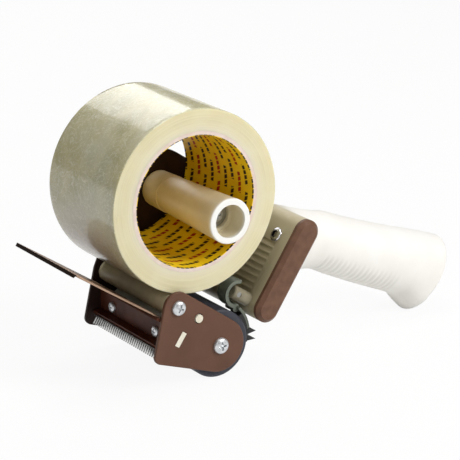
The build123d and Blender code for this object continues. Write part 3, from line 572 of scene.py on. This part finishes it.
@dataclass
class WoundRoll:
    """The roll of film wound on its board core."""

    radius: float = 52.8 * MM
    bore: float = 40.12 * MM
    around: int = 216
    across: int = 28
    side_rings: int = 30

    def profile(self) -> list[tuple[float, float, int]]:
        """Radius, depth and part of each ring, from the near bore edge round to the far one."""
        near = [(self.bore + (self.radius - 0.4 * MM - self.bore) * k / self.side_rings, NEAR_Y, 1)
                for k in range(self.side_rings + 1)]
        outer = [(self.radius, NEAR_Y + 0.4 * MM + (FAR_Y - NEAR_Y - 0.8 * MM) * k / self.across, 0)
                 for k in range(self.across + 1)]
        far = [(radius, FAR_Y, 1) for radius, _, _ in reversed(near)]
        return near + outer + far

    def build(self) -> bpy.types.Object:
        """Make the wound film."""
        rows = []
        for radius, depth, part in self.profile():
            row = []
            step = 0.09 * MM * noise.noise(Vector((radius * 900, 0.0, 3.0)))
            for k in range(self.around):
                turn = 2 * math.pi * k / self.around
                swell = 0.0
                if part == 0:
                    spot = Vector((math.cos(turn) * 3, math.sin(turn) * 3, depth * 60))
                    swell = -0.16 * MM * (0.5 + 0.5 * noise.noise(spot))
                inward = abs(step) if depth < MIDDLE_Y else -abs(step)
                row.append((ROLL[0] + (radius + swell) * math.cos(turn), depth + (inward if part else 0.0),
                            ROLL[1] + (radius + swell) * math.sin(turn)))
            rows.append(row)
        mesh = grid_mesh("wound_film", rows + [rows[0]], True)
        tidy_mesh(mesh)
        piece = new_piece("wound_film", mesh, [WRAP.material(), EDGE.material()])
        for face in mesh.polygons:
            face.material_index = 1 if abs(face.normal.y) > 0.8 else 0
        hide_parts("tape_film")
        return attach(piece, "tape_roll")


@dataclass
class HandleMoulding:
    """Ribbed block, neck and hooked grip."""

    low: tuple[float, float] = BLOCK_LOW
    slope: float = BLOCK_SLOPE
    length: float = BLOCK_LENGTH
    radius: float = BLOCK_RADIUS
    near_y: float = NEAR_Y
    far_y: float = FAR_INNER_Y
    groove_low: float = -3 * MM
    groove_pitch: float = 3.8 * MM
    groove_width: float = 2.9 * MM
    groove_depth: float = 0.7 * MM
    groove_count: int = 11
    rib_margin: float = 9 * MM
    slot_at: float = 46 * MM
    slot_height: float = 1.4 * MM
    grip_root: tuple[float, float] = (69.9978 * MM, -31.5519 * MM)
    neck_rise: float = 6.3 * MM
    neck_half: tuple[float, float] = (31 * MM, 25.8 * MM)
    butt_tilt: float = math.radians(-8)
    butt_corner: float = 4 * MM
    grip_slope: float = math.radians(-20)
    around: int = 96

    def to_side(self, along: float, out: float) -> tuple[float, float]:
        """X and Z of a point up the block and out from its middle line towards the ribs."""
        c, s = math.cos(self.slope), math.sin(self.slope)
        return (self.low[0] + along * c - out * s, self.low[1] + along * s + out * c)

    def outline(self) -> list[tuple[float, float]]:
        """Round-ended outline of the block in the side view."""
        points = []
        for k in range(25):
            turn = math.pi / 2 - math.pi * k / 24
            points.append((self.length + self.radius * math.cos(turn), self.radius * math.sin(turn)))
        for k in range(25):
            turn = -math.pi / 2 - math.pi * k / 24
            points.append((self.radius * math.cos(turn), self.radius * math.sin(turn)))
        return [self.to_side(*point) for point in points]

    def cutters(self, finish: bpy.types.Material) -> bpy.types.Mesh:
        """Bars that cut the grooves, in a row up the block."""
        sizes = {"Count": self.groove_count, "Pitch": self.groove_pitch, "Width": self.groove_width,
                 "Depth": self.groove_depth * 2, "Length": self.far_y - self.near_y - 2 * self.rib_margin}
        tree = SizedTree("groove_bars", sizes)
        half = tree.times(tree.given["Width"], 0.5)
        end = tree.add("GeometryNodeMeshCylinder", {"Vertices": 24, "Radius": half,
                                                    "Depth": tree.given["Depth"]}).outputs["Mesh"]
        reach = tree.add("ShaderNodeMath", {0: tree.times(tree.given["Length"], 0.5), 1: half},
                         operation="SUBTRACT").outputs[0]
        ends = tree.add("GeometryNodeJoinGeometry")
        for way in (1.0, -1.0):
            moved = tree.add("GeometryNodeTransform", {
                "Geometry": end, "Translation": tree.vector(0.0, tree.times(reach, way))})
            tree.tree.links.new(moved.outputs[0], ends.inputs[0])
        bar = tree.add("GeometryNodeConvexHull", {0: ends.outputs[0]})
        line = tree.add("GeometryNodeMeshLine", {
            "Count": tree.given["Count"], "Offset": tree.vector(tree.given["Pitch"])})
        row = tree.add("GeometryNodeInstanceOnPoints", {"Points": line.outputs[0], "Instance": bar.outputs[0]})
        mesh = tree.mesh("groove_bars", row.outputs[0], finish)
        mesh.transform(self.face_matrix(self.groove_low))
        return mesh

    def face_matrix(self, along: float) -> Matrix:
        """Frame on the ribbed face: X up the block, Y across it, Z out of it."""
        x, z = self.to_side(along, self.radius)
        c, s = math.cos(self.slope), math.sin(self.slope)
        return Matrix(((c, 0, -s, x), (0, 1, 0, (self.near_y + self.far_y) / 2), (s, 0, c, z), (0, 0, 0, 1)))

    def block(self, finish: bpy.types.Material) -> bpy.types.Object:
        """Block with its grooves and slot cut."""
        outline = self.outline()
        rows = [[(x, y, z) for x, z in outline] for y in (self.near_y, self.far_y)]
        mesh = grid_mesh("block_body", rows, True)
        work = bmesh.new()
        work.from_mesh(mesh)
        bmesh.ops.holes_fill(work, edges=[e for e in work.edges if e.is_boundary])
        bmesh.ops.recalc_face_normals(work, faces=work.faces)
        work.to_mesh(mesh)
        work.free()
        body = new_piece("block_body", mesh, [finish])
        cutter = new_piece("block_cutter", self.cutters(finish), [finish])
        cut = body.modifiers.new("grooves", "BOOLEAN")
        cut.operation = "DIFFERENCE"
        cut.solver = "EXACT"
        cut.object = cutter
        bevel = body.modifiers.new("edges", "BEVEL")
        bevel.width = 0.25 * MM
        bevel.segments = 2
        bevel.limit_method = "ANGLE"
        bevel.angle_limit = math.radians(50)
        made = plain_mesh(body, "handle_block")
        bpy.data.objects.remove(body)
        bpy.data.objects.remove(cutter)
        tidy_mesh(made, 35)
        return new_piece("handle_block", made, [finish])

    def stations(self) -> list[tuple[float, float, float, float, float]]:
        """Centre X, centre Z, tilt, half width and half height of the grip's main sections."""
        foot = self.to_side(self.length / 2 + self.neck_rise, 0)
        rows = [(foot[0], foot[1], self.slope - math.pi / 2, *self.neck_half)]
        c, s = math.cos(self.grip_slope), math.sin(self.grip_slope)
        table = ((12, 36, 35.2, 0.6), (30, 36.2, 36.4, 0.2), (50, 36.5, 38, -0.4), (70, 36.8, 39.6, -0.6),
                 (82, 37, 41.2, -0.7), (88, 37.3, 44.8, -2.2), (93, 37.5, 47.6, -3.4), (97, 37.5, 49, -4.1),
                 (106, 36.5, 45, -2.4))
        for distance, width, height, rise in table:
            tilt = self.grip_slope + (self.butt_tilt if distance > 100 else 0)
            rows.append((self.grip_root[0] + (distance * c - rise * s) * MM,
                         self.grip_root[1] + (distance * s + rise * c) * MM, tilt,
                         width * MM / 2, height * MM / 2))
        return rows

    def sections(self) -> list[tuple[float, ...]]:
        """Main sections with smooth ones between them."""
        rows = self.stations()
        places = [0.0]
        for before, after in zip(rows, rows[1:]):
            places.append(places[-1] + math.dist(before[:2], after[:2]))
        made = []
        for k in range(len(rows) - 1):
            span = places[k + 1] - places[k]
            steps = max(2, round(span / (0.55 * MM)))
            for step in range(steps):
                made.append(tuple(self.smooth(rows, places, k, step / steps, column) for column in range(5)))
        made.append(rows[-1])
        return made

    @staticmethod
    def smooth(rows: list, places: list[float], k: int, t: float, column: int) -> float:
        """Value between two sections on a curve that is smooth across all of them."""
        def slope_at(index: int) -> float:
            """Slope of the column at a section, kept flat at peaks."""
            if index == 0 or index == len(rows) - 1:
                other = min(index + 1, len(rows) - 1)
                other = other if other != index else index - 1
                return (rows[other][column] - rows[index][column]) / (places[other] - places[index])
            left = (rows[index][column] - rows[index - 1][column]) / (places[index] - places[index - 1])
            right = (rows[index + 1][column] - rows[index][column]) / (places[index + 1] - places[index])
            return 0.0 if left * right <= 0 else 2 * left * right / (left + right)
        span = places[k + 1] - places[k]
        a, b = rows[k][column], rows[k + 1][column]
        m, n = slope_at(k) * span, slope_at(k + 1) * span
        return ((2 * t ** 3 - 3 * t ** 2 + 1) * a + (t ** 3 - 2 * t ** 2 + t) * m
                + (3 * t ** 2 - 2 * t ** 3) * b + (t ** 3 - t ** 2) * n)

    def grip(self, finish: bpy.types.Material) -> bpy.types.Object:
        """Neck and grip, with fine ridges under the fingers and a rounded end."""
        rows = [self.ring(*section) for section in self.sections()]
        x, z, tilt, half_width, half_height = self.stations()[-1]
        corner = self.butt_corner
        back = (x - corner * math.cos(tilt), z - corner * math.sin(tilt))
        keep = [row for row in rows if (row[0][0] - back[0]) * math.cos(tilt)
                + (row[0][2] - back[1]) * math.sin(tilt) < 0 or row is rows[0]]
        for k in range(9):
            turn = math.pi / 2 * k / 8
            shrink = corner * (1 - math.cos(turn))
            ahead = corner * math.sin(turn)
            keep.append(self.ring(back[0] + ahead * math.cos(tilt), back[1] + ahead * math.sin(tilt), tilt,
                                  half_width - shrink, half_height - shrink, plain=True))
        for share in (0.75, 0.5, 0.25):
            keep.append(self.ring(x, z, tilt, (half_width - corner) * share,
                                  (half_height - corner) * share, plain=True))
        mesh = grid_mesh("handle_grip", keep, True)
        work = bmesh.new()
        work.from_mesh(mesh)
        bmesh.ops.holes_fill(work, edges=[e for e in work.edges if e.is_boundary])
        work.to_mesh(mesh)
        work.free()
        tidy_mesh(mesh, 60)
        return new_piece("handle_grip", mesh, [finish])

    def ring(self, x: float, z: float, tilt: float, half_width: float, half_height: float,
             plain: bool = False) -> list[Point]:
        """One section of the grip as points round its middle."""
        reach = (x - self.grip_root[0]) / math.cos(self.grip_slope)
        points = []
        for k in range(self.around):
            turn = 2 * math.pi * k / self.around
            across, up = math.cos(turn), math.sin(turn)
            sink = 0.0 if plain else self.ridge(reach, up)
            high = (half_height - sink) * up
            points.append((x - high * math.sin(tilt), MIDDLE_Y + (half_width - sink) * across,
                           z + high * math.cos(tilt)))
        return points

    @staticmethod
    def ridge(reach: float, up: float) -> float:
        """How far the surface dips between the ridges under the fingers."""
        under = min(1.0, max(0.0, (-up - 0.25) / 0.35))
        along = min(1.0, max(0.0, min(reach - 12 * MM, 74 * MM - reach) / (3 * MM)))
        wave = 0.5 - 0.5 * math.cos(2 * math.pi * reach / (3.5 * MM))
        return 0.45 * MM * wave * under * along

    def build(self) -> list[bpy.types.Object]:
        """Make the block and the grip."""
        finish = HANDLE.material()
        pieces = [self.block(finish), self.grip(finish)]
        for piece in pieces:
            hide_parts("handle")
            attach(piece, "frame")
        return pieces


@dataclass
class Heads:
    """Screw or bolt heads that stand on their seats, each with a cut recess."""

    name: str
    seats: tuple[Seat, ...]
    replaced: tuple[str, ...]
    slot: str
    height: float = 0.6
    dome: float = 0.34
    shank: float = 0.44
    shank_length: float = 1.05
    recess: tuple[float, float, float] = (1.1, 0.24, 0.34)
    hexagon: float = 0.0
    seed: int = 7

    def points(self) -> bpy.types.Mesh:
        """One point for each seat, with the way it faces and its size."""
        mesh = bpy.data.meshes.new(self.name + "_seats")
        mesh.from_pydata([seat.place for seat in self.seats], [], [])
        mesh.attributes.new("facing", "FLOAT_VECTOR", "POINT")
        mesh.attributes.new("head", "FLOAT", "POINT")
        for index, seat in enumerate(self.seats):
            mesh.attributes["facing"].data[index].vector = seat.facing.value
            mesh.attributes["head"].data[index].value = seat.head
        return mesh

    def solid(self, tree: SizedTree, radius: object, depth: object, middle: object, sides: int = 48,
              rings: int = 1) -> bpy.types.NodeSocket:
        """Upright cylinder or prism of one unit screw, with its middle at this height."""
        made = tree.add("GeometryNodeMeshCylinder", {
            "Vertices": sides, "Side Segments": 1, "Fill Segments": rings, "Radius": radius,
            "Depth": depth}, fill_type="TRIANGLE_FAN")
        return tree.add("GeometryNodeTransform", {
            "Geometry": made.outputs["Mesh"], "Translation": tree.vector(0.0, 0.0, middle)}).outputs[0]

    def domed_head(self, tree: SizedTree) -> bpy.types.NodeSocket:
        """Head whose top sinks towards its rim."""
        height = tree.given["Height"]
        flat = self.solid(tree, 1.0, height, tree.times(height, 0.5), rings=12)
        place = tree.add("GeometryNodeInputPosition").outputs[0]
        axes = tree.add("ShaderNodeSeparateXYZ", {0: place}).outputs
        flat_place = tree.vector(axes[0], axes[1])
        reach = tree.add("ShaderNodeVectorMath", {0: flat_place}, operation="LENGTH").outputs["Value"]
        square = tree.add("ShaderNodeMath", {0: 1.0, 1: tree.times(reach, reach)}, operation="SUBTRACT").outputs[0]
        kept = tree.add("ShaderNodeMath", {0: square, 1: 0.0}, operation="MAXIMUM").outputs[0]
        curve = tree.add("ShaderNodeMath", {0: kept}, operation="SQRT").outputs[0]
        sunk = tree.times(tree.add("ShaderNodeMath", {0: curve, 1: 1.0}, operation="SUBTRACT").outputs[0],
                          tree.given["Dome"])
        on_top = tree.add("FunctionNodeCompare", {0: axes[2], 1: tree.times(height, 0.9)},
                          operation="GREATER_THAN").outputs[0]
        return tree.add("GeometryNodeSetPosition", {
            "Geometry": flat, "Selection": on_top, "Offset": tree.vector(0.0, 0.0, sunk)}).outputs[0]

    def recess_tools(self, tree: SizedTree) -> list[bpy.types.NodeSocket]:
        """Bodies that cut the cross or the hexagon."""
        height, depth = tree.given["Height"], tree.times(tree.given["Recess depth"], 2.0)
        if self.hexagon:
            return [self.solid(tree, tree.given["Hexagon"], depth, height, sides=6)]
        bars = []
        for turned in (False, True):
            sizes = [tree.given["Recess length"], tree.given["Recess width"]]
            size = tree.vector(*(reversed(sizes) if turned else sizes), depth)
            bar = tree.add("GeometryNodeMeshCube", {"Size": size}).outputs["Mesh"]
            bars.append(tree.add("GeometryNodeTransform", {
                "Geometry": bar, "Translation": tree.vector(0.0, 0.0, height)}).outputs[0])
        return bars

    def build(self, finish: bpy.types.Material, inner: bpy.types.Material) -> bpy.types.Object:
        """Make every head in one piece.

        Args:
            finish: Material of the heads.
            inner: Material of the floor and walls of a hexagon socket, which is painted shade.

        Returns:
            The piece, riding on the frame.
        """
        sizes = {"Height": self.height, "Dome": self.dome, "Shank": self.shank,
                 "Shank length": self.shank_length, "Recess length": self.recess[0],
                 "Recess width": self.recess[1], "Recess depth": self.recess[2], "Hexagon": self.hexagon,
                 "Seed": self.seed}
        tree = SizedTree(self.name, sizes, self.points())
        cut = tree.add("GeometryNodeMeshBoolean", {0: self.domed_head(tree)}, operation="DIFFERENCE",
                       solver="EXACT")
        for tool in self.recess_tools(tree):
            tree.tree.links.new(tool, cut.inputs["Mesh 2"])
        length = tree.given["Shank length"]
        shank = self.solid(tree, tree.given["Shank"], length, tree.times(length, -0.5), sides=24)
        whole = tree.add("GeometryNodeJoinGeometry")
        for part in (cut.outputs["Mesh"], shank):
            tree.tree.links.new(part, whole.inputs[0])
        way = tree.add("GeometryNodeInputNamedAttribute", {"Name": "facing"}, data_type="FLOAT_VECTOR")
        size = tree.add("GeometryNodeInputNamedAttribute", {"Name": "head"}, data_type="FLOAT")
        turn = tree.add("FunctionNodeAlignRotationToVector", {"Vector": way.outputs[0]}, axis="Z")
        heads = tree.add("GeometryNodeInstanceOnPoints", {
            "Points": tree.given["Points"], "Instance": whole.outputs[0], "Rotation": turn.outputs[0],
            "Scale": size.outputs[0]})
        angle = tree.add("FunctionNodeRandomValue", {2: 0.0, 3: math.pi / 2, "Seed": tree.given["Seed"]},
                         data_type="FLOAT").outputs[1]
        spun = tree.add("GeometryNodeRotateInstances", {
            "Instances": heads.outputs[0], "Rotation": tree.vector(0.0, 0.0, angle)})
        mesh = tree.mesh(self.name, spun.outputs[0], finish)
        tidy_mesh(mesh, 38)
        piece = new_piece(self.name, mesh, [finish, inner])
        # faces inside a hexagon socket get the painted shade material
        for face in mesh.polygons:
            face.material_index = 1 if self.hexagon and self.in_socket(face.center) else 0
        for node in self.replaced:
            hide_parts(node)
        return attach(piece, "frame")

    def in_socket(self, place: Vector) -> bool:
        """Whether a point lies inside the hexagon socket of one of the heads."""
        for seat in self.seats:
            way = Vector(seat.facing.value)
            step = place - Vector(seat.place)
            up = step.dot(way)
            out = (step - way * up).length
            if out < seat.head * (self.hexagon + 0.01) and 0 < up < seat.head * (self.height - 0.06):
                return True
        return False


@dataclass
class WiperSheet:
    """Thin flap with rounded free corners and a stiff lip along its free edge."""

    start: float = 0.3 * MM
    half_width: float = 35.5 * MM
    thickness: float = 0.9 * MM
    lip_depth: float = 1.2 * MM
    lip_width: float = 1.5 * MM
    corner: float = 5 * MM

    def row(self, reach: float) -> list[Point]:
        """Ring of points round the sheet, this far out from its root."""
        end = self.start + FLAP_LENGTH
        past = max(0.0, reach - (end - self.corner))
        half = self.half_width - (self.corner - math.sqrt(max(0.0, self.corner ** 2 - past ** 2)))
        into_lip = min(1.0, max(0.0, (reach - (end - self.lip_width)) / (0.3 * MM)))
        edge = 0.15 * MM
        top, bottom = -self.thickness / 2, self.thickness / 2 + self.lip_depth * into_lip
        section = [(-half + edge, top), (half - edge, top), (half, top + edge), (half, bottom - edge),
                   (half - edge, bottom), (-half + edge, bottom), (-half, bottom - edge), (-half, top + edge)]
        points = []
        for across, out in section:
            points.append((FLAP_PIVOT[0] + reach * math.cos(FLAP_SLOPE) - out * math.sin(FLAP_SLOPE),
                           MIDDLE_Y + across,
                           FLAP_PIVOT[1] + reach * math.sin(FLAP_SLOPE) + out * math.cos(FLAP_SLOPE)))
        return points

    def build(self) -> bpy.types.Object:
        """Make the flap."""
        end = self.start + FLAP_LENGTH
        reaches = [self.start + (end - self.corner - self.start) * k / 24 for k in range(25)]
        reaches += [end - self.corner + (self.corner - 0.02 * MM) * math.sin(math.pi / 2 * k / 14)
                    for k in range(1, 15)]
        reaches += [end - self.lip_width, end - self.lip_width + 0.3 * MM]
        mesh = grid_mesh("wiper_sheet", [self.row(reach) for reach in sorted(reaches)], True)
        work = bmesh.new()
        work.from_mesh(mesh)
        bmesh.ops.holes_fill(work, edges=[e for e in work.edges if e.is_boundary])
        work.to_mesh(mesh)
        work.free()
        tidy_mesh(mesh, 30)
        piece = new_piece("wiper_sheet", mesh, [FLAP.material()])
        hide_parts("wiper_flap")
        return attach(piece, "wiper")


def block_place(along: float, out: float, y: float) -> Point:
    """Point up the block and out from its middle line towards the ribs, at this depth."""
    c, s = math.cos(BLOCK_SLOPE), math.sin(BLOCK_SLOPE)
    return (BLOCK_LOW[0] + along * c - out * s, y, BLOCK_LOW[1] + along * s + out * c)


def screw_seats() -> tuple[Seat, ...]:
    """Seats of every cross-recess screw on the frame."""
    seats = []
    for (x, z), head in ((GUIDE, 4.2 * MM), (APPLICATOR, 4.7 * MM)):
        seats += [Seat((x, NEAR_OUTER_Y, z), Facing.NEAR, head), Seat((x, FAR_OUTER_Y, z), Facing.FAR, head)]
    for shift in (-24.25 * MM, 24.25 * MM):
        seats.append(Seat((-39.5 * MM, MIDDLE_Y + shift, -61.95 * MM), Facing.KNIFE, 3.2 * MM))
    for along in (0.0, BLOCK_LENGTH):
        seats.append(Seat(block_place(along, 0.0, FAR_OUTER_Y), Facing.FAR, 4.5 * MM))
    seats.append(Seat((0.0, 15.6 * MM, 0.0), Facing.NEAR, 4.2 * MM))
    return tuple(seats)


def bolt_seats() -> tuple[Seat, ...]:
    """Seats of the two bolts on the ribbed face."""
    return tuple(Seat(block_place(BLOCK_LENGTH - 8.4 * MM, BLOCK_RADIUS, MIDDLE_Y + side * 24 * MM),
                      Facing.RIBS, 4.3 * MM) for side in (-1, 1))


@dataclass
class Fasteners:
    """Screws and bolts that hold the frame together."""

    def build(self) -> list[bpy.types.Object]:
        """Make the screws and the bolts."""
        screw, bolt, socket = SCREW.material(), BOLT.material(), SOCKET_SHADE.material()
        screws = Heads("pan_screws", screw_seats(),
                       ("guide_screws", "applicator_screws", "holder_screws", "block_screws", "hub_screw"),
                       "bright_screws")
        bolts = Heads("socket_bolts", bolt_seats(), ("block_bolts",), "bright_bolts", height=0.42, dome=0.3,
                      shank=0.55, shank_length=2.6, recess=(0.0, 0.0, 0.6), hexagon=0.58)
        return [screws.build(screw, socket), bolts.build(bolt, socket)]


@dataclass
class Studio:
    """Floor, light and camera."""

    floor_z: float = -91.6 * MM
    eye: Point = (-657.3 * MM, -1025.0 * MM, 379.1 * MM)
    looks: Point = (0.5146, 0.8029, -0.3008)
    lens: float = 179.56

    def floor(self) -> None:
        """Plain pale floor that shows white to the camera and keeps a soft shadow."""
        mesh = bpy.data.meshes.new("floor")
        reach = 6.0
        mesh.from_pydata([(-reach, -reach, self.floor_z), (reach, -reach, self.floor_z),
                          (reach, reach, self.floor_z), (-reach, reach, self.floor_z)], [], [(0, 1, 2, 3)])
        plane = bpy.data.objects.new("floor", mesh)
        bpy.context.scene.collection.objects.link(plane)
        bench = Bench("floor_paper")
        bench.set(Base_Color=srgb(238, 238, 236), Roughness=0.9)
        glow = bench.add("ShaderNodeEmission", {"Color": (1, 1, 1, 1), "Strength": 1.0})
        path = bench.add("ShaderNodeLightPath")
        seen = bench.math("MAXIMUM", path.outputs["Is Camera Ray"],
                          bench.math("MAXIMUM", path.outputs["Is Glossy Ray"],
                                     path.outputs["Is Transmission Ray"]))
        share = bench.math("MULTIPLY", seen, 0.92)
        both = bench.add("ShaderNodeMixShader", {0: share, 1: bench.shader.outputs[0],
                                                 2: glow.outputs[0]})
        output = next(n for n in bench.tree.nodes if n.type == "OUTPUT_MATERIAL")
        bench.tree.links.new(both.outputs[0], output.inputs["Surface"])
        mesh.materials.append(bench.material)

    def world(self) -> None:
        """Even pale surroundings, white where the camera sees them."""
        world = bpy.data.worlds.new("studio")
        world.use_nodes = True
        tree = world.node_tree
        back = tree.nodes["Background"]
        path = tree.nodes.new("ShaderNodeLightPath")
        sums = []
        for name in ("Is Glossy Ray", "Is Transmission Ray"):
            node = tree.nodes.new("ShaderNodeMath")
            node.operation = "MAXIMUM"
            tree.links.new(sums[-1] if sums else path.outputs["Is Camera Ray"], node.inputs[0])
            tree.links.new(path.outputs[name], node.inputs[1])
            sums.append(node.outputs[0])
        level = tree.nodes.new("ShaderNodeMapRange")
        level.inputs["To Min"].default_value = 0.3
        level.inputs["To Max"].default_value = 1.0
        tree.links.new(sums[-1], level.inputs["Value"])
        tree.links.new(level.outputs[0], back.inputs["Strength"])
        bpy.context.scene.world = world

    def lamp(self, name: str, place: Point, size: float, power: float) -> None:
        """Square soft light aimed at the object."""
        data = bpy.data.lights.new(name, "AREA")
        data.size = size
        data.energy = power
        lamp = bpy.data.objects.new(name, data)
        lamp.location = place
        aim = Vector((0.03, 0.04, -0.02)) - Vector(place)
        lamp.rotation_euler = aim.to_track_quat("-Z", "Y").to_euler()
        bpy.context.scene.collection.objects.link(lamp)

    def camera(self) -> None:
        """Camera at the photograph's place."""
        data = bpy.data.cameras.new("camera")
        data.lens = self.lens
        data.sensor_width = 36.0
        data.clip_start = 0.05
        camera = bpy.data.objects.new("camera", data)
        camera.location = self.eye
        camera.rotation_euler = Vector(self.looks).to_track_quat("-Z", "Y").to_euler()
        bpy.context.scene.collection.objects.link(camera)
        bpy.context.scene.camera = camera

    def build(self) -> None:
        """Set the stage."""
        self.camera()
        self.floor()
        self.world()
        self.lamp("key_light", (0.75, -1.05, 0.85), 0.8, 20.0)
        self.lamp("fill_light", (-0.7, -1.0, 0.6), 0.9, 3.0)
        self.lamp("top_light", (-0.05, 0.15, 1.3), 0.8, 9.0)
        self.lamp("back_light", (0.3, 1.2, 0.7), 0.8, 5.0)


def dress_nodes(nodes: dict[str, bpy.types.Object]) -> None:
    """Give each carried-over node its finish."""
    for finish, names in CAD_FINISHES.items():
        material = finish.material()
        for name in names:
            node = nodes[name]
            node.data.materials.clear()
            node.data.materials.append(material)
            log.info("dressed %s with %s", name, finish.name)


def main() -> None:
    """Build the pieces in order."""
    logging.basicConfig(level=logging.INFO, format="%(message)s")
    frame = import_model()
    bpy.context.scene.view_settings.view_transform = "Standard"
    Studio().build()
    log.info("stage set")
    dress_nodes(frame["nodes"])
    for builder in (WoundRoll(), HandleMoulding(), WiperSheet(), Fasteners()):
        builder.build()
        log.info("built %s", type(builder).__name__)


if __name__ == "__main__":
    main()
